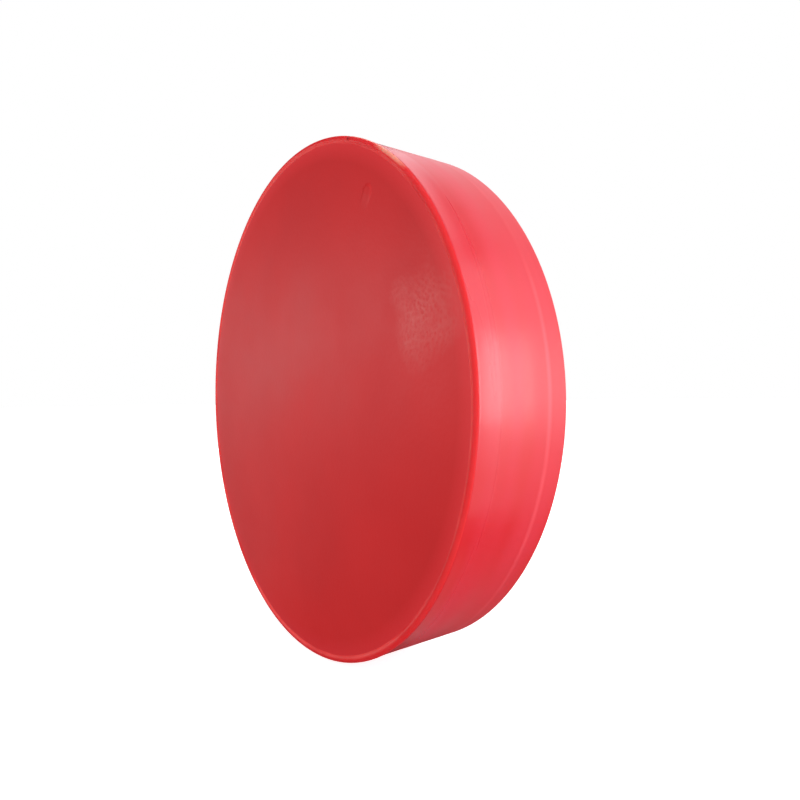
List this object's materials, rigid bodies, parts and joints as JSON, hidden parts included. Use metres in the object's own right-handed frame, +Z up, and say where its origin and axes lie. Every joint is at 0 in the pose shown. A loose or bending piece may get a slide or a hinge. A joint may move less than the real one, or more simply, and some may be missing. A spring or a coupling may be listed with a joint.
{
  "type": "push-on blind end cap",
  "caption": "Round push-on end cap that blanks a pipe: closed face with a rounded rim bead, a skirt with crush ribs inside, and a foam seal ring in its corner.",
  "frame": {"origin": "on the cap's axis, in the plane where the pipe's end rests on the seal ring", "axes": "+Y along the axis, out of the open mouth and along the pipe; the closed face looks along -Y; +Z up"},
  "size_m": [0.227, 0.044, 0.227],
  "materials": {
    "red_polyethylene": "satin low-density polyethylene, slightly translucent, finely pebbled on the face and smoother on the skirt",
    "pale_foam": "closed-cell polyethylene foam with fine pores"
  },
  "bodies": {
    "root": {"cap_shell": "red_polyethylene", "seal_ring": "pale_foam"}
  },
  "joints": []
}
